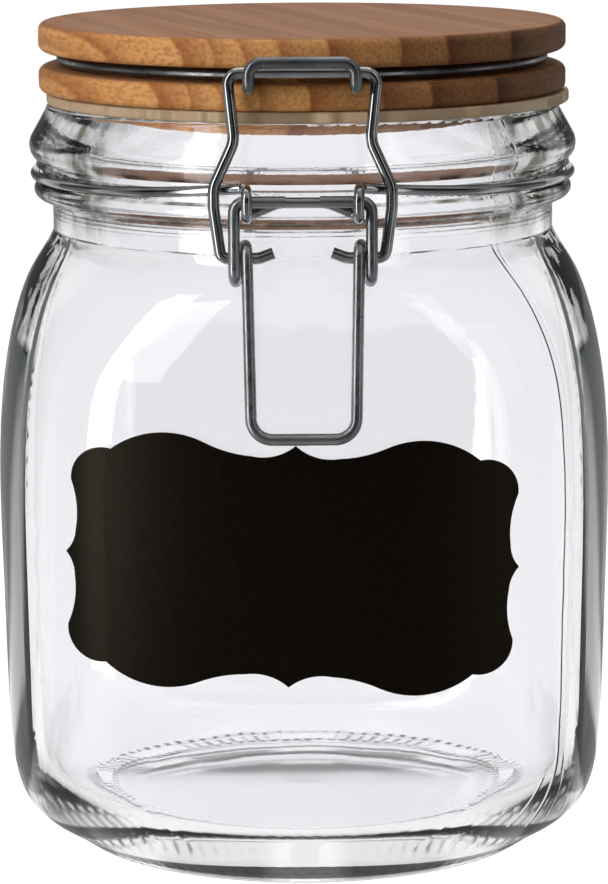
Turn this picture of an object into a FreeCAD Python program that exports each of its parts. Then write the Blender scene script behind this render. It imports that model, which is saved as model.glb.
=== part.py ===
import FreeCAD, Part
import math
import os
from FreeCAD import Vector

# Clip-top glass storage jar, latched shut. Millimetres.
# Origin: middle of the circle the jar stands on. +Z up, the latch and label face -Y.
# One wire link after the other holds the lid down: neck wire, lever, yoke, hook of the lid wire.

# ---- glass body ----
body_half = 55.0            # middle of a side wall from the axis, at its widest
body_height = 110.3         # standing plane to the top of the shoulder
shoulder_height = 29.0      # height over which the sides draw in to the neck
face_radius = 105.0         # crown of each of the four side faces
corner_radius = 25.0        # upright corners between the faces
glass_wall = 3.4
floor_wall = 5.4            # glass between the base and the inside floor
base_radius = 43.6          # edge of the round base, where the foot starts
foot_height = 26.0          # from the base up to the plain wall
foot_inset = 0.85           # the wall just above the foot stands in this far
ring_height = 1.2           # bearing ring under the base
ring_inset = 1.4            # bearing ring in from the edge of the base
ring_width = 4.8
ring_rounding = 0.5
push_up = 2.2               # hollow under the base, above the ring

# ---- glass neck and rim, each step out from the neck ----
neck_radius = 44.8
neck_straight = 4.0         # plain neck above the shoulder
ridge_step = 3.3
ridge_rise = 7.2            # widest level of the ridge above the shoulder
groove_step = 1.9
groove_rise = 9.1           # bottom of the groove that holds the neck wire
groove_width = 2.0
lip_step = 3.0
lip_width = 0.9
belly_step = 4.1
belly_rise = 15.2           # widest level of the belly
rim_step = 1.0
rim_width = 6.0             # rim from its outside to the mouth
finish_height = 22.6        # shoulder top to rim
rim_rounding = 0.9
mouth_rounding = 1.2
edge_ease = 0.5             # slopes between the steps of the neck

# ---- wooden lid and its seal ----
lid_overhang = 1.2          # edge of the lid beyond the rim
lower_disc = 4.6
upper_disc = 5.1
disc_rounding = 1.35        # edges of both discs
slot_depth = 5.6            # groove between the two discs
slot_play = 0.6             # groove wider than the wire
ring_play = 0.4             # lid wire to the bottom of the groove
seal_height = 2.0
seal_step = 0.35            # seal in from the edge of the lid
seal_width = 6.25
seal_shift = 0.95           # the soft ring sits a little to the right
plug_depth = 6.2
plug_gap = 1.4              # plug to the mouth of the jar
plug_rounding = 1.0

# ---- wires ----
wire = 2.0                  # lid wire, yoke and lever
neck_wire = 1.8
play = 0.25                 # running gap between two wires, or a wire and the glass
corner_bend = 1.8           # usual bend of a wire corner, to its middle line
tight_bend = 1.4

# ---- latch ----
eye_half_span = 9.35        # neck-wire eyes left and right of the middle
stub_gap_half = 2.9         # free middle between the two lever stubs
over_centre = 1.0           # yoke stub stands this far behind the lever pivot
lever_half = 8.8            # grip, middle of wire
lever_reach = 39.4          # pivot down to the grip bar
grip_gap = 0.4              # grip and its legs to the glass
grip_bend = 3.6
coil_drop = 9.55            # lever pivot down to the yoke stub
coil_play = 0.15            # coil to the stub inside it
coil_sag = 1.65             # the coil hangs lower than it rises
coil_spread = 0.5           # half turn of the coil to either side
hook_half = 8.9
hook_height = 4.3           # bottom run of the hook up to its front bar
hook_play = 1.9             # room for the yoke bar behind the front bar
hook_dip = 1.4              # bottom run of the hook below the ring of the lid wire
hook_step = 0.3             # its bottom run starts this far behind the yoke bar
hook_neck = 3.9             # straight stretch in front of the ring
bar_gap = 0.9               # yoke bar to the lid
bar_lift = 0.35             # yoke bar above the bottom run of the hook
yoke_top_gap = 1.7          # yoke to the side of the hook, at its top
yoke_waist_gap = 0.5        # and at its waist
yoke_waist_share = 0.6      # level of the waist between bar and hips
yoke_hip_out = 1.15         # hips wider than the foot
yoke_hip_rise = 2.35        # hips start this far above the lever pivot
yoke_hip_length = 3.5
yoke_stub_end = 4.9
yoke_stub_turn = 7.4        # the stub rises a little inside of this
yoke_stub_lift = 0.9
yoke_bend = 5.0

# ---- chalk label ----
label_thickness = 0.25
label_glue = 0.05           # film of glue between glass and label
label_half_width = 38.6
label_half_height = 20.8
label_gap = 0.25            # label below the grip of the lever
label_shift = 2.1           # stuck on this far left of the middle
label_turn = 2.0            # and slightly askew, degrees

# ---- radii, levels and depths worked out from the sizes above ----
floor_top = ring_height + floor_wall
ring_outer = base_radius - ring_inset
ring_inner = ring_outer - ring_width
ridge_radius = neck_radius + ridge_step
groove_radius = neck_radius + groove_step
lip_radius = neck_radius + lip_step
belly_radius = neck_radius + belly_step
rim_radius = neck_radius + rim_step
mouth_radius = rim_radius - rim_width
rim_z = body_height + finish_height
lid_radius = rim_radius + lid_overhang
slot_radius = lid_radius - slot_depth
seal_outer = lid_radius - seal_step
seal_top = rim_z + seal_height
slot_bottom = seal_top + lower_disc
slot_top = slot_bottom + wire + slot_play
lid_top = slot_top + upper_disc

wire_r = wire / 2
neck_r = neck_wire / 2
link_step = wire_r + neck_r + play                         # middle of a lever wire to a neck wire
ring_z = (slot_bottom + slot_top) / 2                      # lid wire
groove_z = body_height + groove_rise + groove_width / 2    # neck wire at the sides
neck_ring_radius = groove_radius + neck_r + play
lid_ring_radius = slot_radius + wire_r + ring_play
arch_y = ridge_radius + neck_r - 0.1                       # neck wire behind the stubs
pivot_y = arch_y + link_step
pivot_z = groove_z - 0.05
eye_front_y = pivot_y + link_step + 0.1
eye_top_z = pivot_z + link_step
eye_bottom_z = pivot_z - link_step - 2 * play
arch_z = pivot_z - 0.35
coil_outer_half = eye_half_span + link_step                # where the coil comes down from the pivot
coil_inner_half = coil_outer_half - wire - 0.1             # where it leaves into the grip
coil_rise = wire + coil_play
coil_sink = coil_rise + coil_sag
coil_bend = coil_rise - coil_play
stub_y = pivot_y - over_centre
stub_z = pivot_z - coil_drop
coil_front_y = stub_y + coil_rise
coil_top_z = stub_z + coil_rise
bar_y = lid_radius + wire_r + bar_gap                      # yoke bar in front of the lid
hook_bottom_z = ring_z - hook_dip
bar_z = hook_bottom_z + wire + bar_lift
hook_front_y = bar_y + wire + hook_play
hook_top_z = hook_bottom_z + hook_height
yoke_top_half = hook_half + wire + yoke_top_gap
yoke_waist_half = hook_half + wire + yoke_waist_gap
yoke_foot_half = coil_outer_half + wire + play
yoke_hip_half = yoke_foot_half + yoke_hip_out
yoke_hip_drop = bar_z - pivot_z - yoke_hip_rise
grip_z = pivot_z - lever_reach
label_middle = grip_z - wire_r - label_gap - label_half_height

X_AXIS = Vector(1, 0, 0)
Y_AXIS = Vector(0, 1, 0)
Z_AXIS = Vector(0, 0, 1)
DIAGONAL = math.sqrt(0.5)


# ---------------------------------------------------------------- wire bending
class WirePath:
    """Centre line of a bent wire: straight runs joined by arcs, always tangent."""

    def __init__(self, start, heading):
        self.at = Vector(start)
        self.heading = Vector(heading).normalize()
        self.edges = []

    def arc_to(self, end):
        chord = end - self.at
        along = chord.dot(self.heading)
        side = chord - self.heading * along
        turn = 2 * math.atan2(side.Length, along)
        radius = chord.Length ** 2 / (2 * side.Length)
        side.normalize()
        half = turn / 2
        middle = self.at + self.heading * (radius * math.sin(half)) + side * (radius * (1 - math.cos(half)))
        self.edges.append(Part.Arc(self.at, middle, end).toShape())
        self.heading = self.heading * math.cos(turn) + side * math.sin(turn)
        self.at = Vector(end)

    def run_to(self, end):
        if (end - self.at).Length > 1e-6:
            self.edges.append(Part.LineSegment(self.at, end).toShape())
            self.heading = (end - self.at).normalize()
        self.at = Vector(end)

    def bends(self, corners, end):
        """Straight runs from corner to corner, each corner rounded to its own radius."""
        points = [corner for corner, radius in corners] + [end]
        for index, (corner, radius) in enumerate(corners):
            before = (corner - self.at).normalize()
            after = (points[index + 1] - corner).normalize()
            turn = before.getAngle(after)
            trim = radius * math.tan(turn / 2)
            self.run_to(corner - before * trim)
            self.arc_to(corner + after * trim)
        self.run_to(end)

    def ahead_to_x(self, x):
        """Point straight ahead where the heading reaches the given x."""
        return self.at + self.heading * ((x - self.at.x) / self.heading.x)

    def sweep(self, diameter):
        first = self.edges[0]
        start = first.valueAt(first.FirstParameter)
        heading = first.tangentAt(first.FirstParameter)
        profile = Part.Wire([Part.Circle(start, heading, diameter / 2).toShape()])
        return Part.Wire(self.edges).makePipeShell([profile], True, False)


def mirrored(shape, normal):
    return shape.mirror(Vector(0, 0, 0), normal)


def both_sides(half):
    """A wire bent alike left and right of the middle plane."""
    return half.fuse(mirrored(half, X_AXIS)).removeSplitter()


def revolve_profile(path):
    """Solid of revolution. path holds (radius, z), or (mid, end) pairs for an arc."""
    edges = []
    first = Vector(path[0][0], 0, path[0][1])
    here = first
    for step in path[1:]:
        if isinstance(step[0], tuple):
            mid = Vector(step[0][0], 0, step[0][1])
            end = Vector(step[1][0], 0, step[1][1])
            edges.append(Part.Arc(here, mid, end).toShape())
        else:
            end = Vector(step[0], 0, step[1])
            edges.append(Part.LineSegment(here, end).toShape())
        here = end
    edges.append(Part.LineSegment(here, first).toShape())
    return Part.Face(Part.Wire(edges)).revolve(Vector(0, 0, 0), Z_AXIS, 360)


# ---------------------------------------------------------------- glass jar
# The foot: share of its height, share of the way out from the base to the wall, and how
# square the section is (1 the full rounded square, 0 round).
foot_stations = [
    (0.0, 0.0, 0.0),
    (0.06, 0.19, 0.10),
    (0.16, 0.52, 0.30),
    (0.32, 0.80, 0.62),
    (0.55, 0.93, 0.90),
    (1.0, 1.0, 1.0),
]
# The wall between the foot and the shoulder: share of that height, and how far the wall
# stands in from its widest.
wall_stations = [(0.4, 0.3), (0.72, 0.0)]
# The shoulder: share of its height still to go, share of the way in from the side to the
# neck, and its squareness.
shoulder_stations = [
    (1.00, 0.07, 1.0),
    (0.69, 0.197, 0.95),
    (0.44, 0.375, 0.75),
    (0.25, 0.59, 0.45),
    (0.115, 0.825, 0.15),
    (0.0, 1.0, 0.0),
]
round_seam = math.radians(22)    # where a round section is cut like a square one


def foot_levels(low):
    """Sections of the foot from the level low up to the plain wall."""
    high = ring_height + foot_height
    wall = body_half - foot_inset
    return [(low + share * (high - low), base_radius + way_out * (wall - base_radius), square)
            for share, way_out, square in foot_stations]


def body_levels():
    """Sections of the body above its foot: level, half width and squareness."""
    wall_low = ring_height + foot_height
    wall_high = body_height - shoulder_height
    levels = [(wall_low + share * (wall_high - wall_low), body_half - inset, 1.0)
              for share, inset in wall_stations]
    levels += [(body_height - share * shoulder_height, body_half - way_in * (body_half - neck_radius), square)
               for share, way_in, square in shoulder_stations]
    return levels


def rounded_square(z, half, squareness, offset):
    """Closed section of four crowned faces and four corner arcs, moved out by offset."""
    corner = half + (corner_radius - half) * squareness
    face = half / max(1 - squareness * (1 - half / face_radius), half / face_radius)
    if squareness == 0:
        seam = round_seam
        face = corner = half
        centre = 0.0
    else:
        gap = face - half
        inner = face - corner
        centre = (-gap + math.sqrt(2 * inner * inner - gap * gap)) / 2
        seam = math.atan2(centre, centre + gap)
    face_out = face + offset
    face_mid = half + offset
    pull = face - half                      # face arc centre beyond the axis
    diagonal = centre + (corner + offset) * DIAGONAL
    end_x = face_out * math.cos(seam) - pull
    end_y = face_out * math.sin(seam)
    edges = []
    for quarter in range(4):
        angle = quarter * math.pi / 2

        def turned(x, y, angle=angle):
            return Vector(x * math.cos(angle) - y * math.sin(angle),
                          x * math.sin(angle) + y * math.cos(angle), z)

        edges.append(Part.Arc(turned(end_x, -end_y), turned(face_mid, 0), turned(end_x, end_y)).toShape())
        edges.append(Part.Arc(turned(end_x, end_y), turned(diagonal, diagonal), turned(end_y, end_x)).toShape())
    return Part.Wire(edges)


def body_form(offset, low):
    """The body from the level low, up its foot and wall to the shoulder top, moved out by offset."""
    levels = foot_levels(low) + body_levels()
    sections = [rounded_square(z, half, squareness, offset) for z, half, squareness in levels]
    return Part.makeLoft(sections, True, False)


def bottom_edges(solid):
    low = min(edge.BoundBox.ZMin for edge in solid.Edges)
    return [edge for edge in solid.Edges if edge.BoundBox.ZMax < low + 0.01]


def arc_corner(radius, z, rounding):
    """Mid and end of a quarter arc over an outer top corner, met from below."""
    ease = rounding * (1 - DIAGONAL)
    return (radius - ease, z - ease), (radius - rounding, z)


def neck_form():
    """Outside of the neck, from the shoulder top to the rim."""
    z = body_height
    groove_top = z + groove_rise + groove_width
    ridge_z = z + ridge_rise
    belly_z = z + belly_rise
    ease = edge_ease
    return revolve_profile([
        (0, z),
        (neck_radius, z),
        (neck_radius, z + neck_straight),
        ((neck_radius + 1.5 * ease, ridge_z - 3.8 * ease), (ridge_radius - 3.2 * ease, ridge_z - 3 * ease)),
        ((ridge_radius, ridge_z), (ridge_radius - ease, ridge_z + 2.8 * ease)),
        (groove_radius, z + groove_rise),
        (groove_radius, groove_top),
        (lip_radius, groove_top + ease),
        (lip_radius - ease / 2, groove_top + ease + lip_width),
        ((belly_radius, belly_z), (belly_radius - ease, belly_z + 3.6 * ease)),
        (rim_radius, rim_z - rim_rounding),
        arc_corner(rim_radius, rim_z, rim_rounding),
        (0, rim_z),
    ])


def throat_form():
    """Inside of the neck, opening to its rounded mouth."""
    ease = mouth_rounding * (1 - DIAGONAL)
    return revolve_profile([
        (0, body_height),
        (neck_radius - glass_wall, body_height),
        (mouth_radius, rim_z - mouth_rounding),
        ((mouth_radius + ease, rim_z - ease), (mouth_radius + mouth_rounding, rim_z)),
        (mouth_radius + mouth_rounding, rim_z + 1),
        (0, rim_z + 1),
    ])


def glass_jar():
    outside = body_form(0.0, ring_height).fuse(neck_form())
    inside = body_form(-glass_wall, floor_top)
    ring = Part.makeCylinder(ring_outer, ring_height + 1)
    ring = ring.makeFillet(ring_rounding, bottom_edges(ring))
    hollow_radius = (ring_inner ** 2 + push_up ** 2) / (2 * push_up)
    hollow = Part.makeSphere(hollow_radius, Vector(0, 0, ring_height + push_up - hollow_radius))
    below = Part.makeCylinder(ring_inner, ring_height + push_up + 1, Vector(0, 0, -1))
    recess = Part.makeCylinder(ring_inner, ring_height + 0.01)
    jar = outside.fuse(ring).cut(recess).cut(hollow.common(below))
    jar = jar.cut(inside.fuse(throat_form()))
    return jar.removeSplitter()


# ---------------------------------------------------------------- label
def label_outline(y):
    """Bracket-shaped plaque on the plane at y: the arcs of one quarter, turned to all four."""
    w = label_half_width
    h = label_half_height
    quarter = [
        ((0, h), (3.0, h - 1.7), (7.4, h - 2.0)),
        ((7.4, h - 2.0), (11.6, h - 1.4), (15.4, h - 0.1)),
        ((15.4, h - 0.1), (w / 2 + 4.6, h + 1.0), (w - 7.3, h - 2.3)),
        ((w - 7.3, h - 2.3), (w - 2.1, h - 3.9), (w - 0.6, h - 8.2)),
        ((w - 0.6, h - 8.2), (w - 1.7, h - 12.6), (w - 1.6, 4.0)),
        ((w - 1.6, 4.0), (w - 1.1, 1.7), (w, 0)),
    ]
    arcs = list(quarter)
    arcs += [tuple((x, -z) for x, z in reversed(arc)) for arc in reversed(quarter)]
    arcs += [tuple((-x, -z) for x, z in arc) for arc in quarter]
    arcs += [tuple((-x, z) for x, z in reversed(arc)) for arc in reversed(quarter)]
    edges = []
    for arc in arcs:
        start, mid, end = [Vector(x, y, z + label_middle) for x, z in arc]
        edges.append(Part.Arc(start, mid, end).toShape())
    return Part.Wire(edges)


def chalk_label():
    prism = Part.Face(label_outline(-body_half - 5)).extrude(Y_AXIS * (body_half / 2))
    prism.rotate(Vector(0, 0, label_middle), Y_AXIS, label_turn)
    prism.translate(Vector(-label_shift, 0, 0))
    skin = body_form(label_glue + label_thickness, ring_height).common(prism)
    return skin.cut(body_form(label_glue, ring_height))


# ---------------------------------------------------------------- lid and seal
def disc_edge(bottom, top):
    """Edge of a disc, rounded below and above, from its underside to its top."""
    ease = disc_rounding * (1 - DIAGONAL)
    return [
        (lid_radius - disc_rounding, bottom),
        ((lid_radius - ease, bottom + ease), (lid_radius, bottom + disc_rounding)),
        (lid_radius, top - disc_rounding),
        arc_corner(lid_radius, top, disc_rounding),
    ]


def wood_lid():
    plug_radius = mouth_radius - plug_gap
    low = seal_top - plug_depth
    ease = plug_rounding * (1 - DIAGONAL)
    return revolve_profile([
        (0, low),
        (plug_radius - plug_rounding, low),
        ((plug_radius - ease, low + ease), (plug_radius, low + plug_rounding)),
        (plug_radius, seal_top),
        *disc_edge(seal_top, slot_bottom),
        (slot_radius, slot_bottom),
        (slot_radius, slot_top),
        *disc_edge(slot_top, lid_top),
        (0, lid_top),
    ])


def seal_ring():
    centre = Vector(seal_shift, 0, rim_z)
    ring = Part.makeCylinder(seal_outer, seal_height, centre)
    return ring.cut(Part.makeCylinder(seal_outer - seal_width, seal_height, centre))


# ---------------------------------------------------------------- wires
def lid_wire():
    """Ring in the slot of the lid, hook in front, hinge stubs behind."""
    half = WirePath((0, -hook_front_y, hook_top_z), X_AXIS)
    join = math.radians(20)
    tangent = Vector(math.cos(join), math.sin(join), 0)
    meet = Vector(lid_ring_radius * math.sin(join), -lid_ring_radius * math.cos(join), ring_z)
    root = meet - tangent * ((meet.x - hook_half) / tangent.x)
    half.bends([
        (Vector(hook_half, -hook_front_y, hook_top_z), 2.2),
        (Vector(hook_half, -hook_front_y, hook_bottom_z), tight_bend),
        (Vector(hook_half, -bar_y + hook_step, hook_bottom_z), 2.5),
        (Vector(hook_half, root.y - hook_neck, ring_z - 0.1), 2.0),
        (root, tight_bend),
    ], meet)
    leave = math.radians(25)
    half.arc_to(Vector(lid_ring_radius, 0, ring_z))
    half.arc_to(Vector(lid_ring_radius * math.sin(leave), lid_ring_radius * math.cos(leave), ring_z))
    half.bends([
        (half.ahead_to_x(coil_outer_half), 2.5),
        (Vector(coil_outer_half, pivot_y, ring_z), 2.5),
        (Vector(coil_outer_half, pivot_y, pivot_z), corner_bend),
    ], Vector(stub_gap_half, pivot_y, pivot_z))
    return both_sides(half.sweep(wire))


def neck_wire_ring():
    """Closed wire round the neck with an eye each side of the middle, front and back."""
    quarter = WirePath((neck_ring_radius, 0, groove_z), -Y_AXIS)
    lift = math.radians(60)      # from here the wire rises towards the eyes
    quarter.arc_to(Vector(neck_ring_radius * math.sin(lift), -neck_ring_radius * math.cos(lift), groove_z))
    rise_x = 1.5 * eye_half_span
    rise_radius = lip_radius + neck_r + 2 * play
    quarter.arc_to(Vector(rise_x, -math.sqrt(rise_radius ** 2 - rise_x ** 2), eye_top_z - 2 * play))
    shoulder = quarter.ahead_to_x(eye_half_span + 0.2)
    quarter.bends([
        (shoulder, tight_bend),
        (Vector(eye_half_span, -eye_front_y, shoulder.z), corner_bend),
        (Vector(eye_half_span, -eye_front_y, eye_bottom_z), corner_bend),
        (Vector(eye_half_span, -arch_y, eye_bottom_z), tight_bend),
        (Vector(eye_half_span - 5.3, -arch_y, arch_z), 6.0),
    ], Vector(0, -arch_y, arch_z))
    front = quarter.sweep(neck_wire)
    return both_sides(front.fuse(mirrored(front, Y_AXIS)))


def grip_depth():
    """Depth of the grip bar at which neither it nor its straight legs come nearer the glass than their gap."""
    clear = wire_r + grip_gap
    depth = 0.0
    levels = body_levels()
    for (low_z, low_half, _), (high_z, high_half, _) in zip(levels, levels[1:]):
        if low_z <= grip_z < high_z:
            depth = low_half + (high_half - low_half) * (grip_z - low_z) / (high_z - low_z) + clear
    for z, half, _ in levels:
        if grip_z < z < coil_top_z:
            share = (z - grip_z) / (coil_top_z - grip_z)
            depth = max(depth, (half + clear - share * coil_front_y) / (1 - share))
    return depth


def lever_wire():
    """Grip bow, one coil turn round each yoke stub, then up and in to the pivot stubs."""
    grip_y = grip_depth()
    back_y = stub_y - coil_rise
    low_z = stub_z - coil_sink
    share = coil_sink / (coil_sink + coil_drop)
    outer_front_y = (coil_front_y - share * pivot_y) / (1 - share)   # its run to the pivot clears the stub
    half = WirePath((0, -grip_y, grip_z), X_AXIS)
    half.bends([
        (Vector(lever_half, -grip_y, grip_z), grip_bend),
        (Vector(coil_inner_half, -coil_front_y, coil_top_z), coil_bend),
        (Vector(coil_inner_half + coil_spread, -back_y, coil_top_z), coil_bend),
        (Vector(coil_outer_half - coil_spread, -back_y, low_z), coil_bend),
        (Vector(coil_outer_half, -outer_front_y, low_z), coil_bend),
        (Vector(coil_outer_half, -pivot_y, pivot_z), corner_bend),
    ], Vector(stub_gap_half, -pivot_y, pivot_z))
    return both_sides(half.sweep(wire))


def yoke_wire():
    """Bow from the hook of the lid wire down to the lever coils."""
    lean = (stub_y - bar_y) / (bar_z - stub_z)

    def at(x, drop):
        return Vector(x, -bar_y - lean * drop, bar_z - drop)

    half = WirePath((0, -bar_y, bar_z), X_AXIS)
    half.bends([
        (at(yoke_top_half, 0), 2.0),
        (at(yoke_waist_half, yoke_waist_share * yoke_hip_drop), yoke_bend),
        (at(yoke_hip_half, yoke_hip_drop), yoke_bend),
        (at(yoke_hip_half, yoke_hip_drop + yoke_hip_length), yoke_bend + 1),
        (Vector(yoke_foot_half, -stub_y, stub_z), tight_bend),
        (Vector(yoke_stub_turn, -stub_y, stub_z), 3.0),
    ], Vector(yoke_stub_end, -stub_y, stub_z + yoke_stub_lift))
    return both_sides(half.sweep(wire))


# ---------------------------------------------------------------- files
def main():
    os.makedirs("parts", exist_ok=True)
    pieces = {
        "glass_jar": glass_jar(),
        "chalk_label": chalk_label(),
        "wood_lid": wood_lid(),
        "seal_ring": seal_ring(),
        "lid_wire": lid_wire(),
        "neck_wire": neck_wire_ring(),
        "lever_wire": lever_wire(),
        "yoke_wire": yoke_wire(),
    }
    for name, shape in pieces.items():
        shape.exportStep("parts/" + name + ".step")
        box = shape.BoundBox
        print(name, "valid", shape.isValid(), "solids", len(shape.Solids), "faces", len(shape.Faces),
              "volume", round(shape.Volume, 1), "x", round(box.XMin, 2), round(box.XMax, 2),
              "y", round(box.YMin, 2), round(box.YMax, 2), "z", round(box.ZMin, 2), round(box.ZMax, 2))


main()
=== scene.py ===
import bpy
import math
from mathutils import Matrix, Vector

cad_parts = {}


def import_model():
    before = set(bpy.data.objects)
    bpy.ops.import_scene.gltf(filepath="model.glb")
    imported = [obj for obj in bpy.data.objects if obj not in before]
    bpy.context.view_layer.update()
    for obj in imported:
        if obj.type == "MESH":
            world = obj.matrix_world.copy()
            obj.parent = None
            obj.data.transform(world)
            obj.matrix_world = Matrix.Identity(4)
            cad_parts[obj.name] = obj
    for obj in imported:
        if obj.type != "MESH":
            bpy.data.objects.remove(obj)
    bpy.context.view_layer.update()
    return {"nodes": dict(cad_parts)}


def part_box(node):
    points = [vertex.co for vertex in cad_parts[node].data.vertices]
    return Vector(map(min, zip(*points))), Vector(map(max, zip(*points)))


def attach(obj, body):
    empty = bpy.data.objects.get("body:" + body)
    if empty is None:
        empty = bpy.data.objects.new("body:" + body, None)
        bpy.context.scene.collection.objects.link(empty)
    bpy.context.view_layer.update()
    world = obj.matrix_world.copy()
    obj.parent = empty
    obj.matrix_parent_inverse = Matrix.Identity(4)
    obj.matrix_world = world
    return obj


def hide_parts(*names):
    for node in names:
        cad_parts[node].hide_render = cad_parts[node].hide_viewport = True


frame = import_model()
nodes = frame["nodes"]
bpy.ops.object.select_all(action="DESELECT")

MM = 0.001

# ---- places read from the frame ----
glass_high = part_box("glass_jar")[1]
lid_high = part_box("wood_lid")[1]
seal_low, seal_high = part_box("seal_ring")
body_half = glass_high.x
rim_level = glass_high.z
jar_height = lid_high.z
lid_radius = lid_high.x

# ---- sizes of the finish ----
shoulder_top = rim_level - 22.6 * MM      # where the body ends and the neck starts
parting_level = shoulder_top + 2.9 * MM   # the two halves of the mould meet the neck ring here
seam_turn = math.radians(48.5)            # the upright mould seam, from the front to the right
seam_width = 0.55 * MM
parting_width = 0.35 * MM
base_edge = 43.6 * MM                     # edge of the round base
grip_ribs = 104                           # upright ribs round the edge of the base
face_radius = 105 * MM                    # crown of the four side faces
neck_outside = 40.5 * MM                  # the outer skin of the neck lies beyond this
slot_level = jar_height - 6.4 * MM        # middle of the slot between the two discs
seal_width = 6.25 * MM                    # across the flat of the seal
seal_play = 0.04 * MM                     # seal lower than the room between rim and lid
seal_rounding = 0.45 * MM


# ---------------------------------------------------------------- shader maths
class Signal:
    """A shader socket that Python's own operators work on, by adding Math nodes."""

    def __init__(self, tree, socket):
        self.tree = tree
        self.socket = socket

    def math(self, operation, *others):
        node = self.tree.nodes.new("ShaderNodeMath")
        node.operation = operation
        for slot, value in zip(node.inputs, (self,) + others):
            plug(self.tree, slot, value)
        return Signal(self.tree, node.outputs[0])

    def __add__(self, other):
        return self.math("ADD", other)

    def __radd__(self, other):
        return self.math("ADD", other)

    def __sub__(self, other):
        return self.math("SUBTRACT", other)

    def __rsub__(self, other):
        return (self * -1).math("ADD", other)

    def __mul__(self, other):
        return self.math("MULTIPLY", other)

    def __rmul__(self, other):
        return self.math("MULTIPLY", other)

    def __truediv__(self, other):
        return self.math("DIVIDE", other)

    def __pow__(self, other):
        return self.math("POWER", other)


def plug(tree, socket, value):
    if isinstance(value, Signal):
        tree.links.new(value.socket, socket)
    else:
        socket.default_value = value


class Finish:
    """A material, or the world, whose nodes are made by one method."""

    def __init__(self, owner):
        owner.use_nodes = True
        self.owner = owner
        self.tree = owner.node_tree
        self.tree.nodes.clear()

    def node(self, kind, settings=None, inputs=None, output=0):
        node = self.tree.nodes.new(kind)
        for name, value in (settings or {}).items():
            if name == "stops":
                ramp = node.color_ramp.elements
                for place, tone in value[2:]:
                    ramp.new(place)
                for element, (place, tone) in zip(ramp, value):
                    element.position = place
                    element.color = tone
            else:
                setattr(node, name, value)
        for name, value in (inputs or {}).items():
            plug(self.tree, node.inputs[name], value)
        return Signal(self.tree, node.outputs[output])

    def other(self, signal, name):
        """Another output of the node that a signal comes from."""
        return Signal(self.tree, signal.socket.node.outputs[name])

    def place(self):
        """Where a point lies on the piece, in metres, since every piece sits at the origin."""
        return self.node("ShaderNodeTexCoord", output="Object")

    def axes(self, vector):
        x = self.node("ShaderNodeSeparateXYZ", {}, {0: vector})
        return x, self.other(x, "Y"), self.other(x, "Z")

    def vector(self, x, y, z):
        return self.node("ShaderNodeCombineXYZ", {}, {0: x, 1: y, 2: z})

    def noise(self, vector, scale, detail=2.0, roughness=0.5):
        return self.node("ShaderNodeTexNoise", {"noise_dimensions": "3D"},
                         {"Vector": vector, "Scale": scale, "Detail": detail, "Roughness": roughness})

    def fade(self, value, low, high, bottom=0.0, top=1.0):
        """Smooth step from bottom at low to top at high."""
        return self.node("ShaderNodeMapRange", {"interpolation_type": "SMOOTHSTEP"}, {
            "Value": value, "From Min": low, "From Max": high, "To Min": bottom, "To Max": top})

    def bell(self, distance, width):
        """1 on a line, falling to 0 at the given distance to either side."""
        return self.fade(distance.math("ABSOLUTE"), 0.0, width, 1.0, 0.0)

    def mix(self, factor, first, second):
        """From the first colour at 0 to the second at 1."""
        node = self.tree.nodes.new("ShaderNodeMix")
        node.data_type = "RGBA"
        plug(self.tree, node.inputs[0], factor)
        plug(self.tree, node.inputs[6], first)
        plug(self.tree, node.inputs[7], second)
        return Signal(self.tree, node.outputs[2])

    def relief(self, height):
        """Surface normal of a height given in millimetres."""
        return self.node("ShaderNodeBump", {}, {"Height": height, "Distance": MM, "Strength": 1.0})

    def surface(self, shader):
        out = self.tree.nodes.new("ShaderNodeOutputMaterial")
        plug(self.tree, out.inputs["Surface"], shader)
        return self.owner


def material(name):
    return Finish(bpy.data.materials.new(name))


def colour(red, green, blue):
    """Linear colour from the 0 to 255 values a painter reads off a screen."""
    def linear(c):
        c = c / 255
        return c / 12.92 if c <= 0.04045 else ((c + 0.055) / 1.055) ** 2.4
    return linear(red), linear(green), linear(blue), 1.0


# ---------------------------------------------------------------- glass
clear_tone = colour(248, 248, 250)
painted_edge_tone = colour(3, 6, 6)        # painted shade, near black, where the outer wall is seen edge on
painted_neck_shade_tone = colour(58, 56, 44)    # painted shade at the sides of the thick neck
lamp_tint = (0.92, 0.94, 0.94, 1)  # what a lamp's light keeps on its way through
glass_index = 1.5
knurl_height = 0.13                # grip ribs, millimetres
press_roughness = 0.08


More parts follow.
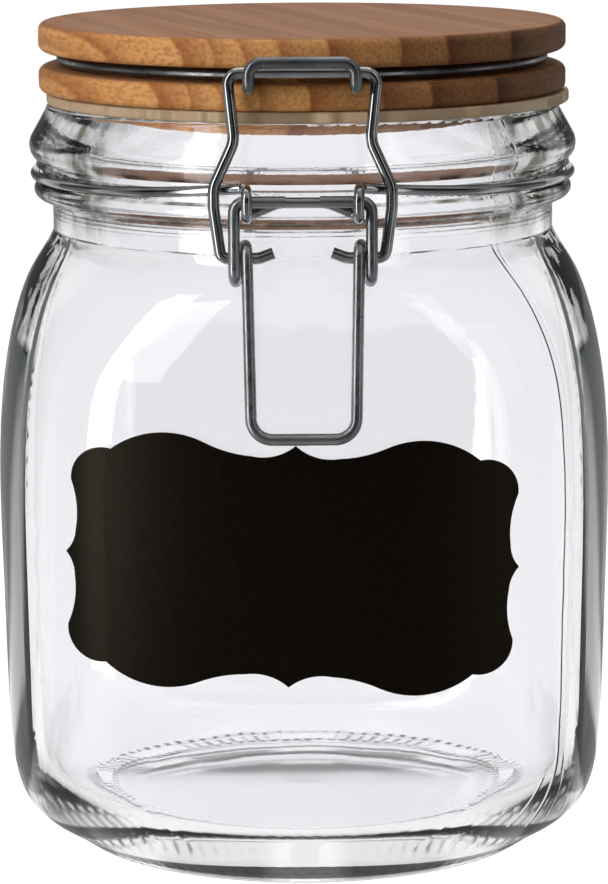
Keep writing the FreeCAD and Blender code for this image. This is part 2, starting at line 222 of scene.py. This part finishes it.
def glass_finish():
    f = material("clear_glass")
    where = f.place()
    x, y, z = f.axes(where)
    # slow waves of the blown body, and the pebbled skin of the pressed neck
    waves = f.noise(where, 45.0, 1.0) * 0.10
    neck = f.fade(z, parting_level - 4 * MM, parting_level + 2 * MM)
    pebbles = f.noise(where, 620.0, 2.0, 0.6) * (neck * 0.030 + 0.0015)
    # upright mould seam, strong in front and faint behind, and the parting line round the neck
    off_seam = x * math.cos(seam_turn) + y * math.sin(seam_turn)
    drift = (f.noise(where, 90.0) - 0.5) * (0.5 * MM)
    radius = (x * x + y * y) ** 0.5
    seam = f.bell(off_seam + drift, seam_width) * f.fade(y, -5 * MM, 5 * MM, 0.06, 0.004)
    seam = seam * f.fade(radius, base_edge - 6 * MM, base_edge)
    level = z + (f.noise(where, 70.0) - 0.5) * (0.9 * MM)
    parting = f.bell(level - parting_level, parting_width) * 0.07
    # grip ribs on the ring the jar stands on
    turn = y.math("ARCTAN2", x)
    ribs = (turn * grip_ribs).math("SINE") * 0.5 + 0.5
    sole_rim = f.fade(radius, base_edge - 8 * MM, base_edge - 6 * MM)
    sole = f.fade(z, 1.5 * MM, 3.2 * MM, 1.0, 0.0) * sole_rim
    knurl = ribs * sole * knurl_height
    normal = f.relief(waves + pebbles + seam + parting + knurl)
    # where a sight line grazes the outer wall it runs a long way inside the glass and darkens a
    # little; the near black there is painted shade for the dark surroundings seen through that edge
    graze = f.node("ShaderNodeLayerWeight", {}, {"Blend": 0.5}, output="Facing")
    across = x.math("ABSOLUTE")
    along = y.math("ABSOLUTE")
    crown = across.math("MAXIMUM", along) + (face_radius - body_half)
    narrow = across.math("MINIMUM", along)
    reach = (crown * crown + narrow * narrow) ** 0.5
    outer_wall = f.fade(reach, face_radius - 3.2 * MM, face_radius - 2.6 * MM)
    wall = f.fade(graze, 0.64, 0.71) * f.fade(graze, 0.88, 0.98, 1.0, 0.5) * outer_wall
    tint = f.mix(wall, clear_tone, painted_edge_tone)
    # painted shade: the sides of the thick neck are painted a dark taupe, broken into upright streaks
    neck_shade_streaks = f.fade(f.noise(f.vector(x, y, z * 0.35), 260.0), 0.35, 0.62, 0.45, 1.0)
    outer_neck = f.fade(radius, neck_outside, neck_outside + 1 * MM) * neck
    tint = f.mix(f.fade(graze, 0.20, 0.46) * outer_neck * neck_shade_streaks, tint, painted_neck_shade_tone)
    # pressed glass is a little matt, at the neck and at the heel
    matt = (outer_neck + f.fade(z, 10 * MM, 18 * MM, 1.0, 0.0)) * press_roughness
    glass = f.node("ShaderNodeBsdfPrincipled", {}, {
        "Base Color": tint, "Roughness": matt, "IOR": glass_index, "Transmission Weight": 1.0,
        "Normal": normal})
    clear = f.node("ShaderNodeBsdfTransparent", {}, {"Color": lamp_tint})
    lamp_ray = f.node("ShaderNodeLightPath", output="Is Shadow Ray")
    return f.surface(f.node("ShaderNodeMixShader", {}, {0: lamp_ray, 1: glass, 2: clear}))


# ---------------------------------------------------------------- wood
grain_turn = math.radians(18)      # the fibres run front to back, turned this far
# Growth rings: distance from the pith in millimetres, how dark the late wood starts, and how
# far it takes to fade. ring_span is the length of the whole ramp.
rings = [(4.5, 0.55, 3.0), (8.0, 0.8, 3.5), (17.3, 0.9, 4.2), (21.6, 0.75, 2.2), (26.0, 0.65, 2.0),
         (31.4, 0.75, 3.0), (39.4, 0.95, 5.5), (52.0, 0.85, 6.0), (61.0, 1.0, 6.5), (74.0, 1.0, 5.0)]
ring_span = 90.0


def wood_finish():
    f = material("lid_wood")
    x, y, z = f.axes(f.place())
    across = x * math.cos(grain_turn) + y * math.sin(grain_turn)
    along = y * math.cos(grain_turn) - x * math.sin(grain_turn)
    fibre = f.vector(across, along * 0.03, z)
    upper = f.fade(z, slot_level - 0.2 * MM, slot_level + 0.2 * MM)
    # each disc is its own board with its own pith, low on the left
    pith_across = upper * (3.4 * MM) - 52.5 * MM
    pith_level = upper * (7.0 * MM) + (jar_height - 13.2 * MM)
    wander = (f.noise(fibre, 60.0, 2.0) - 0.5) * (3.0 * MM)
    dx = across - pith_across + wander
    dz = (z - pith_level) * 1.25
    distance = (dx * dx + dz * dz) ** 0.5 * (1000 / ring_span)
    stops = [(0.0, (0.1, 0.1, 0.1, 1))]
    for start, dark, fade in rings:
        stops += [((start - 0.5) / ring_span, (0.0, 0.0, 0.0, 1)),
                  (start / ring_span, (dark, dark, dark, 1)),
                  ((start + fade) / ring_span, (dark * 0.25, dark * 0.25, dark * 0.25, 1))]
    late = f.node("ShaderNodeValToRGB", {"stops": stops}, {0: distance})
    # painted shade: the wood is painted darker towards the right, the side turned away from the key
    # lamp
    painted_shade_right = f.fade(x, -0.2 * lid_radius, 0.9 * lid_radius)
    light_wood = f.mix(painted_shade_right, colour(204, 148, 90), colour(116, 78, 48))
    dark_wood = f.mix(painted_shade_right, colour(142, 82, 41), colour(60, 36, 22))
    pore_wood = f.mix(painted_shade_right, colour(92, 52, 28), colour(40, 24, 15))
    end_grain = f.mix(late, light_wood, dark_wood)
    pores = f.noise(f.vector(across, along * 0.3, z), 1500.0, 1.0)
    specks = f.fade(pores, 0.60, 0.70) * (f.fade(f.noise(fibre, 120.0), 0.35, 0.65) * 0.5)
    specks = specks.math("MAXIMUM", f.fade(pores, 0.44, 0.60) * 0.26)
    end_grain = f.mix(specks, end_grain, pore_wood)
    # the top is sawn along the fibres: fine pinkish streaks
    streaks = f.noise(fibre, 900.0, 3.0, 0.7)
    bands = f.noise(fibre, 170.0, 2.0)
    top_tone = f.mix(f.fade(bands, 0.35, 0.65), colour(158, 112, 76), colour(138, 92, 58))
    top_grain = f.mix(f.fade(streaks, 0.52, 0.75) * 0.5, top_tone, colour(126, 80, 54))
    top_grain = f.mix(late * 0.4, top_grain, colour(146, 92, 60))
    skin = f.node("ShaderNodeNewGeometry", output="Normal")
    upright = f.axes(skin)[2].math("ABSOLUTE")
    upward = f.fade(upright, 0.80, 0.97)
    tone = f.mix(upward, end_grain, top_grain)
    rough = 0.5 + streaks * 0.2
    grain_height = streaks * 0.05 + f.noise(f.place(), 1200.0, 2.0) * 0.03
    shader = f.node("ShaderNodeBsdfPrincipled", {}, {
        "Base Color": tone, "Roughness": rough, "Specular IOR Level": 0.15,
        "Normal": f.relief(grain_height)})
    return f.surface(shader)


# ---------------------------------------------------------------- wires
def wire_finish(name, tone, roughness):
    """Drawn steel wire, scuffed and clouded here and there to three quarters of its tone."""
    f = material(name)
    where = f.place()
    scuffs = f.noise(where, 500.0, 3.0, 0.6)
    rough = f.fade(scuffs, 0.3, 0.75, roughness * 0.8, roughness * 1.5)
    dents = f.noise(where, 350.0, 2.0) * 0.02
    clouded = tuple(0.75 * c for c in tone[:3]) + (1.0,)
    base = f.mix(f.fade(f.noise(where, 160.0), 0.4, 0.7), tone, clouded)
    shader = f.node("ShaderNodeBsdfPrincipled", {}, {
        "Base Color": base, "Metallic": 1.0, "Roughness": rough, "Normal": f.relief(dents)})
    return f.surface(shader)


def seal_finish():
    f = material("silicone_seal")
    cloud = f.noise(f.place(), 60.0)
    tone = f.mix(cloud, colour(174, 148, 116), colour(164, 139, 108))
    shader = f.node("ShaderNodeBsdfPrincipled", {}, {"Base Color": tone, "Roughness": 0.42})
    return f.surface(shader)


def label_finish():
    f = material("chalk_film")
    where = f.place()
    grain = f.noise(where, 1400.0, 2.0, 0.6)
    tone = f.mix(f.fade(grain, 0.4, 0.7), colour(4, 2, 1), colour(13, 9, 6))
    shader = f.node("ShaderNodeBsdfPrincipled", {}, {
        "Base Color": tone, "Roughness": 0.38, "Specular IOR Level": 0.15,
        "Specular Tint": colour(255, 236, 205), "Normal": f.relief(grain * 0.02)})
    return f.surface(shader)


def dress(piece, finish):
    piece.data.materials.clear()
    piece.data.materials.append(finish)


polished = wire_finish("polished_wire", colour(158, 160, 162), 0.10)
satin = wire_finish("satin_wire", colour(150, 153, 155), 0.30)
dull = wire_finish("dull_wire", colour(116, 119, 121), 0.30)
dress(nodes["glass_jar"], glass_finish())
dress(nodes["chalk_label"], label_finish())
dress(nodes["wood_lid"], wood_finish())
dress(nodes["lid_wire"], dull)
dress(nodes["neck_wire"], polished)
dress(nodes["lever_wire"], satin)
dress(nodes["yoke_wire"], polished)


# ---------------------------------------------------------------- seal
def soft_seal():
    """The seal as a moulded ring with rounded edges, lying just clear of rim and lid."""
    middle = (seal_low.x + seal_high.x) / 2
    outer = (seal_high.x - seal_low.x) / 2
    height = seal_high.z - seal_low.z - seal_play
    centre_z = (seal_low.z + seal_high.z) / 2
    bpy.ops.mesh.primitive_plane_add(size=1.0, location=(0, 0, 0), rotation=(math.pi / 2, 0, 0))
    ring = bpy.context.object
    ring.name = "soft_seal"
    bpy.ops.object.transform_apply(rotation=True)
    bpy.ops.object.mode_set(mode="EDIT")
    bpy.ops.transform.resize(value=(seal_width, 1, height))
    bpy.ops.transform.translate(value=(middle + outer - seal_width / 2, 0, centre_z))
    bpy.ops.mesh.bevel(offset=seal_rounding, segments=4, affect="VERTICES")
    bpy.ops.mesh.spin(steps=180, angle=2 * math.pi, center=(middle, 0, 0), axis=(0, 0, 1))
    bpy.ops.mesh.select_all(action="SELECT")
    bpy.ops.mesh.remove_doubles(threshold=0.001 * MM)
    bpy.ops.mesh.normals_make_consistent(inside=False)
    bpy.ops.mesh.faces_shade_smooth()
    bpy.ops.object.mode_set(mode="OBJECT")
    dress(ring, seal_finish())
    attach(ring, "jar")
    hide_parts("seal_ring")
    ring.select_set(False)


soft_seal()


# ---------------------------------------------------------------- studio
sector_count = 8
white_half = math.radians(5)       # a sector is white this far from its middle
dim_half = math.radians(12)        # and has faded to dim this far from it
sector_dim = 0.12


def sectors(f, x, y):
    """White sectors round the jar with dim gaps between them, as gloss and metal mirror them."""
    turn = x.math("ARCTAN2", y)
    low = math.cos(sector_count * dim_half)
    high = math.cos(sector_count * white_half)
    return f.fade((turn * sector_count).math("COSINE"), low, high, sector_dim, 1.0)


def floor():
    """White paper. Glass shows it pale, and gloss and metal mirror it in sectors, dim in front."""
    bpy.ops.mesh.primitive_plane_add(size=8.0, location=(0, 0, 0))
    plane = bpy.context.object
    plane.name = "floor"
    f = material("white_paper")
    x, y, z = f.axes(f.place())
    mirrored = sectors(f, x, y) * f.fade(y, -0.20, 0.10, 0.10, 0.90)
    path = f.node("ShaderNodeLightPath", output="Is Camera Ray")
    glassy = f.other(path, "Is Transmission Ray")
    seen = path * 0.90 + f.other(path, "Is Glossy Ray") * (1 - glassy) * mirrored + glassy * 0.80
    paper = f.node("ShaderNodeBsdfDiffuse", {}, {"Color": (0.25, 0.25, 0.25, 1)})
    glow = f.node("ShaderNodeEmission", {}, {"Color": (1, 1, 1, 1), "Strength": seen})
    plane.data.materials.append(f.surface(f.node("ShaderNodeAddShader", {}, {0: paper, 1: glow})))


def world():
    """White behind the jar to the eye; to all else a room that is dimmer in front."""
    studio = bpy.data.worlds.new("studio")
    bpy.context.scene.world = studio
    f = Finish(studio)
    x, y, z = f.axes(f.node("ShaderNodeTexCoord", output="Generated"))
    path = f.node("ShaderNodeLightPath", output="Is Camera Ray")
    overhead = f.fade(z, 0.35, 0.80)
    level = 1 - overhead
    room = f.fade(y, -0.35, 0.45, 0.25, 0.80)
    through = level * 0.94 + overhead * 0.6
    front = f.fade(y, -0.35, 0.45, 0.10, 0.90)
    mirrored = sectors(f, x, y) * front * level + overhead * 0.5
    glassy = f.other(path, "Is Transmission Ray")
    shiny = f.other(path, "Is Glossy Ray") * (1 - glassy)
    matt = (1 - shiny) * (1 - glassy)
    dim = f.node("ShaderNodeBackground", {}, {
        "Color": (1, 1, 1, 1), "Strength": room * matt + mirrored * shiny + through * glassy})
    white = f.node("ShaderNodeBackground", {}, {"Color": (1, 1, 1, 1), "Strength": 1.0})
    mixed = f.node("ShaderNodeMixShader", {}, {0: path, 1: dim, 2: white})
    out = f.tree.nodes.new("ShaderNodeOutputWorld")
    plug(f.tree, out.inputs["Surface"], mixed)


def lamp(name, place, aim, width, height, glow, mirrored=True):
    """An area lamp of a given brightness, hidden from the camera itself."""
    light = bpy.data.lights.new(name, "AREA")
    light.shape = "RECTANGLE"
    light.size = width
    light.size_y = height
    light.energy = glow * math.pi * width * height
    holder = bpy.data.objects.new(name, light)
    holder.location = place
    holder.rotation_euler = (Vector(aim) - Vector(place)).to_track_quat("-Z", "Y").to_euler()
    holder.visible_camera = False
    holder.visible_glossy = mirrored
    bpy.context.scene.collection.objects.link(holder)


def camera():
    lens = bpy.data.cameras.new("camera")
    holder = bpy.data.objects.new("camera", lens)
    bpy.context.scene.collection.objects.link(holder)
    bpy.context.scene.camera = holder
    lens.sensor_width = 36.0
    lens.lens = 159.3
    lens.clip_start = 0.01
    pitch = math.radians(10.14)
    roll = math.radians(-0.3)
    holder.location = (0.0, -0.700, 0.1958)
    turn = Matrix.Rotation(math.pi / 2 - pitch, 3, "X") @ Matrix.Rotation(roll, 3, "Z")
    holder.rotation_euler = turn.to_euler()


floor()
world()
centre = (0, 0, jar_height / 2)
lamp("key", (-0.60, -0.70, 0.60), centre, 0.40, 0.60, 4.0, mirrored=False)
lamp("fill", (0.75, -0.45, 0.45), centre, 0.40, 0.50, 0.6, mirrored=False)
lamp("top", (0.0, 0.15, 0.90), centre, 0.70, 0.60, 1.4)
lamp("left_strip", (-0.140, -0.143, 0.15), (-0.036, -0.049, 0.15), 0.050, 0.30, 4.6)
lamp("right_strip", (0.128, -0.153, 0.15), (0.034, -0.049, 0.15), 0.026, 0.30, 1.4)
camera()

view = bpy.context.scene.view_settings
view.view_transform = "Standard"
